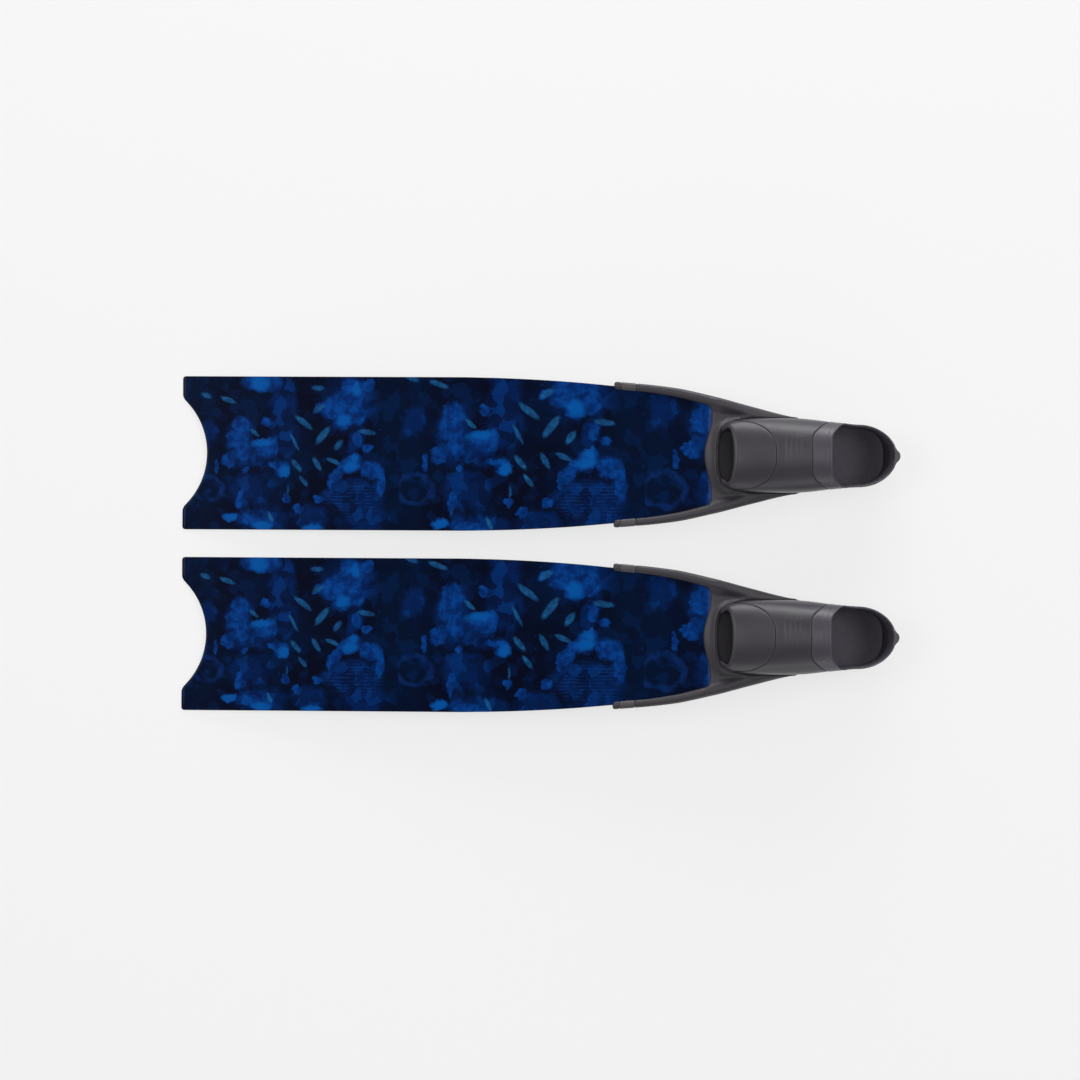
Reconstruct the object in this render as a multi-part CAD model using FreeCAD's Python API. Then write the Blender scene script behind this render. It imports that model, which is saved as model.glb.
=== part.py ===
import FreeCAD, Part
import math
import os

# A pair of long-blade swim fins with full foot pockets, lying opening-up on a flat surface.
# Row frame in millimetres: +X runs from the blade tips towards the heels, +Y across the pair,
# +Z up, origin on the surface under the middle of the pair.  Each fin is the same about its own
# midline, so one fin is modelled on Y = 0 and placed twice.
#
# Foot frame: the foot pocket is drawn flat and then tilted.  u runs along the sole from the
# junction with the blade to the heel, y across, w square to the sole, and w = 0 is its underside.

V = FreeCAD.Vector

# ---------------------------------------------------------------- driving dimensions (mm, degrees)
FIN_SPACING = 236.0         # between the midlines of the two fins
TIP_X = -468.5              # tips of the blade's two horns
JUNCTION_X = 222.0          # the blade's bend, where it enters the sole
JUNCTION_Z = 64.0           # height of the sole's underside at the junction
SOLE_SLOPE = 17.0           # the sole falls this much towards the heel

BLADE_HALF_WIDTH = 100.0
BLADE_TIP_THICKNESS = 1.2
BLADE_ROOT_THICKNESS = 2.4
BLADE_BEND_RADIUS = 40.0
BLADE_LEVEL = 3.9           # w of the blade root's mid-surface inside the sole
BLADE_ROOT_LENGTH = 72.0    # how far the blade runs into the sole
BLADE_TAPER = [(-100.0, 100.0), (0.0, 96.7), (88.0, 89.8), (181.0, 80.0), (226.0, 68.0)]   # (X, half width)
ROOT_HALF_WIDTH = 40.0
ROOT_SHOULDER_X = 250.0     # inside the sole, the blade narrows to its root here
ROOT_SHOULDER_EXTRA = 4.0   # and is this much wider than at the root's end
NOTCH_HALF_CHORD = 71.2     # the tip's notch is one circular arc
NOTCH_DEPTH = 32.0
BLADE_CLEARANCE = 0.4       # between the blade and its slot

WALL = 3.5                  # soft walls of the foot pocket
RAISED = 1.0                # toe cap and collar stand this far proud
SOLE_THICKNESS = 8.0
SOLE_RIM = 14.0             # w of the edge where sole and soft walls meet
POCKET_HALF_LENGTH = 115.75
POCKET_HALF_WIDTH = 49.0
FOOTBED_THICKNESS = 3.0
HULL_ROUND = 9.0            # bottom edge of the pocket, outside
CAVITY_ROUND = 3.0          # and inside
TREAD_THICKNESS = 3.0
TREAD_START = 165.0         # u where the heel tread begins
TREAD_INSET = 6.0           # from the pocket's footprint
TREAD_GROOVES = 4
TREAD_GROOVE_STEP = 8.0
TREAD_GROOVE_WIDTH = 2.0
TREAD_GROOVE_DEPTH = 1.5

SCREW_U = 46.0
SCREW_HALF_SPACING = 18.0
SCREW_RADIUS = 2.5
SCREW_HEAD_RADIUS = 4.5
SCREW_HEAD_HEIGHT = 2.0
DRIVER_SLOT = (6.0, 1.0, 1.0)   # length, width and depth
SCREW_HOLE_RADIUS = 3.0     # in the blade
INSERT_RADIUS = 5.0

SLEEVE_START_X = 103.0      # the clip near each tendon's tip
SLEEVE_END_X = 123.0
SLEEVE_THICKNESS = 1.4

TOE_PANEL_HALF = 44.0       # the toe cap's plan: half width, rear edge and rear corners
TOE_PANEL_REAR = 71.0
TOE_PANEL_CORNER = 36.0
MOUTH_LOW_U = 6.0           # the toe box's open front leans back from the sole's lip ...
MOUTH_HIGH_U = 34.6         # ... to here at the level MOUTH_TOP
MOUTH_TOP = 92.0

LIP_FRONT_U = -12.3         # the web plate's convex front edge
WEB_LOW = -1.0
WEB_THICKNESS = 10.0

TAB_ROOT_U = 226.0          # the heel's pull tab
TAB_ROUND = 6.0             # its end is one arc, this deep
TAB_END_U = 238.8
TAB_HALF_WIDTH = 9.5
TAB_THICKNESS = 4.0
TAB_W = 60.0

REACH = 160.0               # half width of cutting tools, past every face
TOOL_TOP = 118.0            # w above every part of the pocket
TOOL_BACK = 252.0           # u behind every part of the pocket
TOOL_FRONT = -40.0          # u ahead of the toe box

COS_SOLE = math.cos(math.radians(SOLE_SLOPE))
SIN_SOLE = math.sin(math.radians(SOLE_SLOPE))


# ---------------------------------------------------------------- frames and small helpers
def world_point(u, w):
    """The XZ place of a point (u, w) of the foot frame."""
    x = JUNCTION_X + u * COS_SOLE + w * SIN_SOLE
    z = JUNCTION_Z - u * SIN_SOLE + w * COS_SOLE
    return x, z


def level_at(x, w):
    """Height of the line w = constant of the foot frame above a given X."""
    u = (x - JUNCTION_X - w * SIN_SOLE) / COS_SOLE
    return world_point(u, w)[1]


def to_world(shape):
    """Tilt a shape of the foot frame into the row frame."""
    placed = shape.copy()
    placed.rotate(V(0, 0, 0), V(0, 1, 0), SOLE_SLOPE)
    placed.translate(V(JUNCTION_X, 0, JUNCTION_Z))
    return placed


def line(a, b):
    return Part.LineSegment(a, b).toShape()


def arc(a, b, c):
    return Part.Arc(a, b, c).toShape()


def spline(points):
    curve = Part.BSplineCurve()
    curve.interpolate(points)
    return curve.toShape()


def prism(edges, direction):
    """A solid from a closed ring of edges, swept along a straight direction."""
    return Part.Face(Part.Wire(edges)).extrude(direction)


def side_prism(edges):
    """Sweep a ring of edges in the XZ plane to both sides of the midline."""
    solid = prism(edges, V(0, 2 * REACH, 0))
    solid.translate(V(0, -REACH, 0))
    return solid


def polyline(points):
    return [line(points[i], points[i + 1]) for i in range(len(points) - 1)]


# ---------------------------------------------------------------- blade
def blade_stations():
    """Mid-surface points and normals in XZ: tip, start, middle and end of the bend, root end."""
    x_bend, z_bend = world_point(0.0, BLADE_LEVEL)
    z_tip = BLADE_TIP_THICKNESS / 2
    slope = math.atan2(z_bend - z_tip, x_bend - TIP_X)
    fall = -math.radians(SOLE_SLOPE)
    tangent_run = BLADE_BEND_RADIUS * math.tan((slope - fall) / 2)
    forward = V(math.cos(slope), 0, math.sin(slope))
    backward = V(math.cos(fall), 0, math.sin(fall))
    corner = V(x_bend, 0, z_bend)
    start = corner - forward * tangent_run
    end = corner + backward * tangent_run
    normal_a = V(-math.sin(slope), 0, math.cos(slope))
    normal_b = V(-math.sin(fall), 0, math.cos(fall))
    normal_mid = (normal_a + normal_b).normalize()
    middle = start - normal_a * BLADE_BEND_RADIUS + normal_mid * BLADE_BEND_RADIUS
    return [
        (V(TIP_X, 0, z_tip), normal_a, BLADE_TIP_THICKNESS / 2),
        (start, normal_a, BLADE_ROOT_THICKNESS / 2),
        (middle, normal_mid, BLADE_ROOT_THICKNESS / 2),
        (end, normal_b, BLADE_ROOT_THICKNESS / 2),
        (corner + backward * BLADE_ROOT_LENGTH, normal_b, BLADE_ROOT_THICKNESS / 2),
    ]


def blade_side(clearance):
    """Side profile of the blade, grown by the clearance above, below and at the root's end."""
    stations = blade_stations()
    low = [p - n * (half + clearance) for p, n, half in stations]
    top = [p + n * (half + clearance) for p, n, half in stations]
    along_root = (stations[4][0] - stations[3][0]).normalize()
    low[4] = low[4] + along_root * clearance
    top[4] = top[4] + along_root * clearance
    return side_prism([
        line(low[0], low[1]),
        arc(low[1], low[2], low[3]),
        line(low[3], low[4]),
        line(low[4], top[4]),
        line(top[4], top[3]),
        arc(top[3], top[2], top[1]),
        line(top[1], top[0]),
        line(top[0], low[0]),
    ])


def blade_plan(clearance):
    """Plan outline of the blade: two horns, the notch, the long taper and the narrow root.

    It runs a little past the root's end, which the side profile cuts square.
    """
    overrun = 2.0
    half = BLADE_HALF_WIDTH + clearance
    root_x = blade_stations()[4][0].x + overrun + clearance
    root_half = ROOT_HALF_WIDTH + clearance
    side = [V(x, y + clearance, 0) for x, y in BLADE_TAPER]
    other_side = [V(p.x, -p.y, 0) for p in reversed(side)]
    shoulder = V(ROOT_SHOULDER_X + clearance, root_half + ROOT_SHOULDER_EXTRA, 0)
    edges = [
        line(V(TIP_X, NOTCH_HALF_CHORD, 0), V(TIP_X, half, 0)),
        line(V(TIP_X, half, 0), side[0]),
        spline(side),
        line(side[-1], shoulder),
        line(shoulder, V(root_x, root_half, 0)),
        line(V(root_x, root_half, 0), V(root_x, -root_half, 0)),
        line(V(root_x, -root_half, 0), V(shoulder.x, -shoulder.y, 0)),
        line(V(shoulder.x, -shoulder.y, 0), other_side[0]),
        spline(other_side),
        line(other_side[-1], V(TIP_X, -half, 0)),
        line(V(TIP_X, -half, 0), V(TIP_X, -NOTCH_HALF_CHORD, 0)),
        arc(V(TIP_X, -NOTCH_HALF_CHORD, 0), V(TIP_X + NOTCH_DEPTH, 0, 0),
            V(TIP_X, NOTCH_HALF_CHORD, 0)),
    ]
    solid = prism(edges, V(0, 0, 2 * REACH))
    solid.translate(V(0, 0, -REACH / 2))
    return solid


def make_blade():
    blade = blade_plan(0.0).common(blade_side(0.0))
    for axis in screw_axes():
        hole = Part.makeCylinder(SCREW_HOLE_RADIUS, 2 * SOLE_THICKNESS, axis - V(0, 0, SOLE_THICKNESS / 2))
        blade = blade.cut(to_world(hole))
    return blade


def blade_slot():
    return blade_plan(BLADE_CLEARANCE).common(blade_side(BLADE_CLEARANCE))


# ---------------------------------------------------------------- foot pocket hull (foot frame)
FOOTPRINT = [(0.0, 0.0), (2.0, 27.0), (10.0, 38.5), (30.0, 45.5), (60.0, 49.0), (100.0, 49.0),
             (145.0, 45.0), (190.0, 41.0), (215.0, 33.0), (227.0, 19.0), (231.5, 0.0)]  # (u, half width)

# (u, half width, w where the shoulder starts to round, w of the crown)
ARCHES = [(-12.0, 44.0, 14.0, 33.0), (30.0, 48.5, 16.0, 47.0), (60.0, 50.5, 20.0, 60.0),
          (100.0, 50.5, 28.0, 77.0), (140.0, 47.5, 40.0, 91.0), (180.0, 45.0, 55.0, 101.0),
          (245.0, 45.0, 58.0, 112.0)]
ARCH_POWER = 2.3            # 2 is an ellipse, more is squarer shoulders


def footprint_prism(inset, low, high):
    """The footprint, drawn in by an inset, between two levels of w."""
    shrink_u = (POCKET_HALF_LENGTH - inset) / POCKET_HALF_LENGTH
    shrink_y = (POCKET_HALF_WIDTH - inset) / POCKET_HALF_WIDTH
    middle = POCKET_HALF_LENGTH
    right = [V(middle + (u - middle) * shrink_u, y * shrink_y, low) for u, y in FOOTPRINT]
    left = [V(p.x, -p.y, low) for p in right[-2:0:-1]]
    ring = Part.BSplineCurve()
    ring.interpolate(Points=right + left, PeriodicFlag=True)
    return Part.Face(Part.Wire([ring.toShape()])).extrude(V(0, 0, high - low))


def arch_section(u, half, shoulder, crown, floor):
    """One closed section of the tunnel over the foot, in a plane u = constant."""
    def rim(y):
        share = (1 - abs(y / half) ** ARCH_POWER) ** (1 / ARCH_POWER)
        return V(u, y, shoulder + (crown - shoulder) * share)
    places = [math.sin(math.radians(a)) for a in range(-90, 91, 15)]
    top = [rim(half * p) for p in places]
    low_left = V(u, -half, floor)
    low_right = V(u, half, floor)
    return Part.Wire([line(low_right, low_left), line(low_left, top[0]), spline(top),
                      line(top[-1], low_right)])


def arch_loft(inset, floor):
    sections = [arch_section(u, half - inset, shoulder, crown - inset, floor)
                for u, half, shoulder, crown in ARCHES]
    return Part.makeLoft(sections, True, False)


def hull(inset, floor, bottom_round):
    """Footprint walls under the arched roof, with a rounded bottom edge."""
    walls = footprint_prism(inset, floor, TOOL_TOP + WALL)
    bottom_edges = [e for e in walls.Edges
                    if abs(e.BoundBox.ZMax - floor) < 0.01 and abs(e.BoundBox.ZMin - floor) < 0.01]
    walls = walls.makeFillet(bottom_round, bottom_edges)
    return walls.common(arch_loft(inset, floor - WALL))


# ---------------------------------------------------------------- cutting regions (foot frame)
def rim_edges():
    """Side view of the foot opening's rim: down from the instep, back along the ankle, heel."""
    start = V(132.3, 0, TOOL_TOP)
    back = [V(141.7, 0, 79.0), V(150.0, 0, 67.5), V(168.0, 0, 59.5), V(195.0, 0, 57.0),
            V(222.0, 0, 60.5), V(TOOL_BACK, 0, 66.0)]
    return start, back


def opening_region():
    start, back = rim_edges()
    far = V(TOOL_BACK, 0, TOOL_TOP)
    return side_prism([line(start, back[0]), spline(back), line(back[-1], far), line(far, start)])


def above_collar_line():
    """The collar's share of the walls: everything over a line round the ankle and the heel."""
    curve = [V(88.0, 0, TOOL_TOP), V(114.2, 0, 82.0), V(124.0, 0, 70.0), V(138.0, 0, 59.0),
             V(162.0, 0, 45.5), V(195.0, 0, 40.0), V(TOOL_BACK, 0, 45.0)]
    far = V(TOOL_BACK, 0, TOOL_TOP)
    return side_prism([spline(curve), line(curve[-1], far), line(far, curve[0])])


def behind_seam():
    """Everything behind the side seam between vamp and heel cup."""
    high, low = V(136.0, 0, TOOL_TOP), V(146.0, 0, -10.0)
    ring = [high, low, V(TOOL_BACK, 0, low.z), V(TOOL_BACK, 0, high.z), high]
    return side_prism(polyline(ring))


def toe_mouth():
    """Open front of the toe box, leaning back from the sole's lip to the roof."""
    corner = V(TOOL_FRONT, 0, SOLE_RIM)
    ring = [corner, V(MOUTH_LOW_U, 0, SOLE_RIM), V(MOUTH_HIGH_U, 0, MOUTH_TOP),
            V(TOOL_FRONT, 0, MOUTH_TOP), corner]
    return side_prism(polyline(ring))


def toe_panel_region():
    """Plan of the toe cap: straight sides, round rear corners."""
    half, corner, rear = TOE_PANEL_HALF, TOE_PANEL_CORNER, TOE_PANEL_REAR
    q = corner * (1 - math.sqrt(0.5))
    edges = [
        line(V(TOOL_FRONT, -half, 0), V(rear - corner, -half, 0)),
        arc(V(rear - corner, -half, 0), V(rear - q, -half + q, 0), V(rear, -half + corner, 0)),
        line(V(rear, -half + corner, 0), V(rear, half - corner, 0)),
        arc(V(rear, half - corner, 0), V(rear - q, half - q, 0), V(rear - corner, half, 0)),
        line(V(rear - corner, half, 0), V(TOOL_FRONT, half, 0)),
        line(V(TOOL_FRONT, half, 0), V(TOOL_FRONT, -half, 0)),
    ]
    strip = 4.0             # of the vamp, under the toe cap all round
    solid = prism(edges, V(0, 0, TOOL_TOP))
    solid.translate(V(0, 0, SOLE_RIM + strip))
    return solid


def above(level):
    return Part.makeBox(400, 2 * REACH, 200, V(-60, -REACH, level))


def below(level):
    return Part.makeBox(400, 2 * REACH, 200, V(-60, -REACH, level - 200))


# ---------------------------------------------------------------- tendons (row frame)
# (X, outer edge from the midline, width, w of the centre or None on the blade, height)
TENDON = [(94.0, 94.6, 9.0, None, 6.5), (100.0, 94.9, 10.4, None, 8.0),
          (140.0, 91.0, 10.2, None, 10.0), (181.0, 85.7, 12.5, None, 13.0),
          (223.0, 76.4, 14.0, 4.5, 17.0), (265.0, 65.5, 14.0, 7.5, 19.0),
          (307.0, 55.0, 12.0, 8.0, 17.0), (335.0, 49.0, 8.0, 8.0, 10.0)]
TENDON_POWER = 2.8


def blade_level(x):
    """Height of the blade's mid-surface ahead of the bend."""
    (tip, _, _), (start, _, _) = blade_stations()[0:2]
    return tip.z + (start.z - tip.z) * (x - tip.x) / (start.x - tip.x)


def tendon_section(x, outer, width, w, height, inset):
    z = blade_level(x) if w is None else level_at(x, w)
    half_y = width / 2 - inset
    half_z = height / 2 - inset
    points = []
    corners = 16
    for step in range(corners):
        angle = math.tau * step / corners
        c, s = math.cos(angle), math.sin(angle)
        y = math.copysign(abs(c) ** (2 / TENDON_POWER), c) * half_y
        dz = math.copysign(abs(s) ** (2 / TENDON_POWER), s) * half_z
        points.append(V(x, outer - width / 2 + y, z + dz))
    ring = Part.BSplineCurve()
    ring.interpolate(Points=points, PeriodicFlag=True)
    return Part.Wire([ring.toShape()])


def tendon(inset):
    return Part.makeLoft([tendon_section(*row, inset) for row in TENDON], True, False)


def mirrored(shape):
    return shape.mirror(V(0, 0, 0), V(0, 1, 0))


# ---------------------------------------------------------------- sub-parts of one fin (row frame)
def web_plate():
    """Flat plate round the toe box, from the convex front lip to the tendons."""
    ring = [(-3.0, 62.0), (-1.0, 69.0), (43.0, 58.5), (87.0, 49.0), (100.0, 44.0)]
    right = [V(u, y, WEB_LOW) for u, y in ring]
    left = [V(p.x, -p.y, WEB_LOW) for p in reversed(right)]
    edges = [arc(left[-1], V(LIP_FRONT_U, 0, WEB_LOW), right[0])]
    edges += polyline(right)
    edges.append(line(right[-1], left[0]))
    edges += polyline(left)
    return prism(edges, V(0, 0, WEB_THICKNESS))


def screw_axes():
    return [V(SCREW_U, side * SCREW_HALF_SPACING, 0) for side in (-1, 1)]


def make_screw(axis):
    """Countersunk screw from below, its head flush with the sole's underside."""
    head = Part.makeCone(SCREW_HEAD_RADIUS, SCREW_RADIUS, SCREW_HEAD_HEIGHT, V(axis.x, axis.y, 0))
    shank = Part.makeCylinder(SCREW_RADIUS, SOLE_THICKNESS - 0.5, V(axis.x, axis.y, 0))
    length, width, depth = DRIVER_SLOT
    slot = Part.makeBox(length, width, 2 * depth, V(axis.x - length / 2, axis.y - width / 2, -depth))
    return head.fuse(shank).removeSplitter().cut(slot)


def make_insert(axis):
    """Threaded disc bonded into the sole above the blade root."""
    low = BLADE_LEVEL + BLADE_ROOT_THICKNESS / 2 + BLADE_CLEARANCE
    disc = Part.makeCylinder(INSERT_RADIUS, SOLE_THICKNESS - low, V(axis.x, axis.y, low))
    bore = Part.makeCylinder(SCREW_RADIUS, 2 * SOLE_THICKNESS, axis)
    return disc.cut(bore)


def screw_pockets():
    """What the two screws and their inserts take out of the sole."""
    tools = []
    below_sole = 2.0
    past_blade = BLADE_LEVEL + 1.0
    for place in screw_axes():
        tools.append(Part.makeCone(SCREW_HEAD_RADIUS, SCREW_RADIUS, SCREW_HEAD_HEIGHT, place))
        tools.append(Part.makeCylinder(SCREW_HEAD_RADIUS, below_sole, place - V(0, 0, below_sole)))
        tools.append(Part.makeCylinder(SCREW_RADIUS, past_blade, place))
        tools.append(Part.makeCylinder(INSERT_RADIUS, SOLE_THICKNESS, place + V(0, 0, BLADE_LEVEL)))
    return tools


def make_sole_frame(outer, cavity, tendon_solid, slot):
    """The hard sole with its side walls, front lip, webs and the two tendons."""
    sole = outer.common(below(SOLE_RIM)).fuse(web_plate())
    sole = sole.cut(cavity).cut(screw_pockets())
    frame = to_world(sole).fuse([tendon_solid, mirrored(tendon_solid)])
    # the tendons' inner faces stay out of the foot's space and of the soft walls
    frame = frame.cut(slot).cut(to_world(cavity))
    return frame.cut(to_world(outer.common(above(SOLE_RIM))))


def make_sleeve(tendon_solid, tendon_core, slot):
    span = SLEEVE_END_X - SLEEVE_START_X
    window = Part.makeBox(span, REACH, TOOL_TOP, V(SLEEVE_START_X, 0, 0))
    return tendon_solid.cut(tendon_core).common(window).cut(slot)


def make_heel_tread():
    """Tread pad under the heel, grooved across and bevelled level with the ground."""
    pad = footprint_prism(TREAD_INSET, -TREAD_THICKNESS, 0.0)
    heel = V(TREAD_START, -REACH, -TREAD_THICKNESS)
    pad = pad.common(Part.makeBox(TOOL_BACK - TREAD_START, 2 * REACH, 2 * TREAD_THICKNESS, heel))
    for step in range(1, TREAD_GROOVES + 1):
        corner = V(TREAD_START + step * TREAD_GROOVE_STEP, -REACH, -TREAD_THICKNESS - TREAD_GROOVE_DEPTH)
        pad = pad.cut(Part.makeBox(TREAD_GROOVE_WIDTH, 2 * REACH, 2 * TREAD_GROOVE_DEPTH, corner))
    return to_world(pad)


def make_pull_tab():
    """Rounded tab at the back of the collar to pull the heel on."""
    round_u = TAB_END_U - TAB_ROUND
    edges = [
        line(V(TAB_ROOT_U, -TAB_HALF_WIDTH, TAB_W), V(round_u, -TAB_HALF_WIDTH, TAB_W)),
        arc(V(round_u, -TAB_HALF_WIDTH, TAB_W), V(TAB_END_U, 0, TAB_W),
            V(round_u, TAB_HALF_WIDTH, TAB_W)),
        line(V(round_u, TAB_HALF_WIDTH, TAB_W), V(TAB_ROOT_U, TAB_HALF_WIDTH, TAB_W)),
        line(V(TAB_ROOT_U, TAB_HALF_WIDTH, TAB_W), V(TAB_ROOT_U, -TAB_HALF_WIDTH, TAB_W)),
    ]
    return prism(edges, V(0, 0, -TAB_THICKNESS))


def make_fin():
    """All sub-parts of one fin on Y = 0, as name to shape."""
    outer = hull(0.0, 0.0, HULL_ROUND)
    raised = hull(-RAISED, 0.0, HULL_ROUND)
    cavity = hull(WALL, SOLE_THICKNESS, CAVITY_ROUND)
    slot = blade_slot()
    tendon_solid = tendon(0.0)
    tendon_core = tendon(SLEEVE_THICKNESS)
    sleeve = make_sleeve(tendon_solid, tendon_core, slot)

    openings = [cavity, opening_region(), toe_mouth()]
    walls = outer.common(above(SOLE_RIM)).cut(openings)
    raised_walls = raised.common(above(SOLE_RIM)).cut(openings)
    collar_zone = above_collar_line()
    toe_zone = toe_panel_region()
    tab = make_pull_tab().cut(cavity)

    collar = raised_walls.common(collar_zone).fuse(tab).removeSplitter()
    heel_cup = walls.common(behind_seam()).cut([collar_zone, tab])
    toe_cap = raised_walls.common(toe_zone)
    vamp = walls.cut([behind_seam(), collar_zone, toe_zone])

    ground = Part.makeBox(6 * REACH, 2 * REACH, REACH, V(TIP_X, -REACH, -REACH))
    frame = make_sole_frame(outer, cavity, tendon_solid, slot)
    frame = frame.cut([sleeve, mirrored(sleeve)]).cut(ground)
    footbed = footprint_prism(WALL + CAVITY_ROUND, SOLE_THICKNESS, SOLE_THICKNESS + FOOTBED_THICKNESS)

    return {
        "blade": make_blade(),
        "sole_frame": frame,
        "toe_cap": to_world(toe_cap),
        "vamp": to_world(vamp),
        "collar": to_world(collar),
        "heel_cup": to_world(heel_cup).cut(ground),
        "footbed": to_world(footbed),
        "heel_tread": make_heel_tread().cut(ground),
        "outer_tip_sleeve": sleeve,
        "inner_tip_sleeve": mirrored(sleeve),
        "blade_screws": to_world(Part.makeCompound([make_screw(a) for a in screw_axes()])),
        "screw_inserts": to_world(Part.makeCompound([make_insert(a) for a in screw_axes()])),
    }


def main():
    os.makedirs("parts", exist_ok=True)
    fin = make_fin()
    for side, name in ((1, "left"), (-1, "right")):
        for node, shape in fin.items():
            placed = shape.copy()
            placed.translate(V(0, side * FIN_SPACING / 2, 0))
            placed.exportStep(f"parts/{name}_{node}.step")
            if side == 1:
                box = placed.optimalBoundingBox(False)
                print(f"{node:18s} solids {len(placed.Solids)} volume {placed.Volume / 1000:8.2f} cm3 "
                      f"valid {placed.isValid()} X {box.XMin:.1f} {box.XMax:.1f} "
                      f"Y {box.YMin:.1f} {box.YMax:.1f} Z {box.ZMin:.1f} {box.ZMax:.1f}")


main()
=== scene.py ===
"""Looks of a pair of long-blade swim fins with full foot pockets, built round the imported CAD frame.

Lengths inside the shape code are millimetres; meshes are handed to Blender in metres. One fin is
modelled on Y = 0 and every mesh is placed twice, on the midlines of the two CAD blades.

Foot frame: u runs along the sole from the blade's bend to the heel, y across, w square to the sole.
"""

import math

import bpy
import numpy as np
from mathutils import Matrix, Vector


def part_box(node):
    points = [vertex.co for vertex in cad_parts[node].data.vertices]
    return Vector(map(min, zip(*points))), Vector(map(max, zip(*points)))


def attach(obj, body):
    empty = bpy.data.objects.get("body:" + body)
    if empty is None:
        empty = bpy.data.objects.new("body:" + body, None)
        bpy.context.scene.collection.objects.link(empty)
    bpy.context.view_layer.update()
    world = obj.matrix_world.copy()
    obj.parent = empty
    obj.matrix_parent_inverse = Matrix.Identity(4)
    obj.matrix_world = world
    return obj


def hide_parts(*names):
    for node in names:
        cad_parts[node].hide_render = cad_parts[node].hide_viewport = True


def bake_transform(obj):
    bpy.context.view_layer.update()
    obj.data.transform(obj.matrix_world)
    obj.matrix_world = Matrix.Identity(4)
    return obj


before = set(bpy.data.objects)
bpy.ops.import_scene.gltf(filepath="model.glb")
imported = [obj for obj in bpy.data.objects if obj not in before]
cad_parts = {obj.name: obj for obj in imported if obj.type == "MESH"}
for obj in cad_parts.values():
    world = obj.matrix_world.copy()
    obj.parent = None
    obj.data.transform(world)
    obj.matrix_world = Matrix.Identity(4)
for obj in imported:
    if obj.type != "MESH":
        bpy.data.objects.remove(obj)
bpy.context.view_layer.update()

MM = 0.001
SIDES = ("left", "right")


def box_mm(node):
    """Lowest and highest corner of a CAD node at rest, in millimetres."""
    low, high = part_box(node)
    return np.array(low) / MM, np.array(high) / MM


# ------------------------------------------------------------------ driving dimensions (mm, degrees)
BLADE_LOW, BLADE_HIGH = box_mm("left_blade")
TIP_X = BLADE_LOW[0]
BLADE_HALF_WIDTH = (BLADE_HIGH[1] - BLADE_LOW[1]) / 2
MIDLINES = {side: sum(v[1] for v in box_mm(f"{side}_blade")) / 2 for side in SIDES}

JUNCTION_X, JUNCTION_Z = 222.0, 64.0        # the blade's bend at the sole's underside
SOLE_SLOPE = math.radians(17.0)
COS_SOLE, SIN_SOLE = math.cos(SOLE_SLOPE), math.sin(SOLE_SLOPE)

BLADE_TIP_THICKNESS = 1.2
BLADE_ROOT_THICKNESS = 2.4
BLADE_BEND_RADIUS = 40.0
BLADE_LEVEL = 3.9                           # w of the blade root's mid-surface
BLADE_ROOT_LENGTH = 72.0                    # from the bend's corner to the root's end, in the sole
NOTCH_HALF_CHORD = 71.2
NOTCH_DEPTH = 32.0
TIP_CORNER_RADIUS = 4.0

WALL = 3.5                                  # thickness of the soft uppers
SOLE_THICKNESS = 8.0
SOLE_RIM = 14.0                             # w where the sole's side walls end and the uppers start
POCKET_LENGTH = 231.2                       # u of the pocket's heel
OPENING_FRONT_X = 376.0                     # front edge of the foot opening, seen from above
COLLAR_FRONT_X = 350.5                      # front edge of the collar, seen from above
COLLAR_DEPTH = 17.5                         # how far the collar reaches below the opening's rim
OPENING_TURN, COLLAR_TURN = 12.0, 15.0      # how far the two front edges turn back at their ends
EDGE = 1.0                                  # rounding of a panel's edges
PANEL_GAP = 0.22                            # half the groove between two panels
SEAT_GAP = 0.2                              # between the uppers or the footbed and what they sit in
UPPER_GAP, FOOTBED_GAP, FLOOR_GAP = 0.1, 0.1, 0.3
FOOTBED_THICKNESS = 3.0


# ------------------------------------------------------------------ small maths
def foot_frame(x, z):
    """u and w of a place in the row frame."""
    dx, dz = x - JUNCTION_X, z - JUNCTION_Z
    return dx * COS_SOLE - dz * SIN_SOLE, dx * SIN_SOLE + dz * COS_SOLE


def row_frame(u, w):
    """X and Z of a place in the foot frame."""
    return JUNCTION_X + u * COS_SOLE + w * SIN_SOLE, JUNCTION_Z - u * SIN_SOLE + w * COS_SOLE


def smooth_max(a, b, radius):
    """Intersection of two fields with an edge rounded by about the radius."""
    h = np.maximum(radius - np.abs(a - b), 0.0) / radius
    return np.maximum(a, b) + h * h * radius / 4


def smooth_min(a, b, radius):
    """Union of two fields with a fillet of about the radius."""
    return -smooth_max(-a, -b, radius)


def curve(stations):
    """A smooth function through (position, value) stations, flat past both ends."""
    xs = np.array([s[0] for s in stations], float)
    ys = np.array([s[1] for s in stations], float)
    slopes = np.gradient(ys, xs)

    def value(x):
        x = np.clip(x, xs[0], xs[-1])
        i = np.clip(np.searchsorted(xs, x, side="right") - 1, 0, len(xs) - 2)
        span = xs[i + 1] - xs[i]
        t = (x - xs[i]) / span
        a = (1 + 2 * t) * (1 - t) ** 2
        b = t * (1 - t) ** 2 * span
        c = t * t * (3 - 2 * t)
        d = t * t * (t - 1) * span
        return a * ys[i] + b * slopes[i] + c * ys[i + 1] + d * slopes[i + 1]

    return value


def bump(distance, width):
    """A smooth hill of height 1 about distance 0."""
    return np.exp(-((distance / width) ** 2))


def unit_field(field, x, y, z, reach=0.3):
    """A field divided by its slope, so that it reads about as a distance."""
    gx = field(x + reach, y, z) - field(x - reach, y, z)
    gy = field(x, y + reach, z) - field(x, y - reach, z)
    gz = field(x, y, z + reach) - field(x, y, z - reach)
    slope = np.sqrt(gx * gx + gy * gy + gz * gz) / (2 * reach)
    return field(x, y, z) / np.maximum(slope, 0.2)


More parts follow.
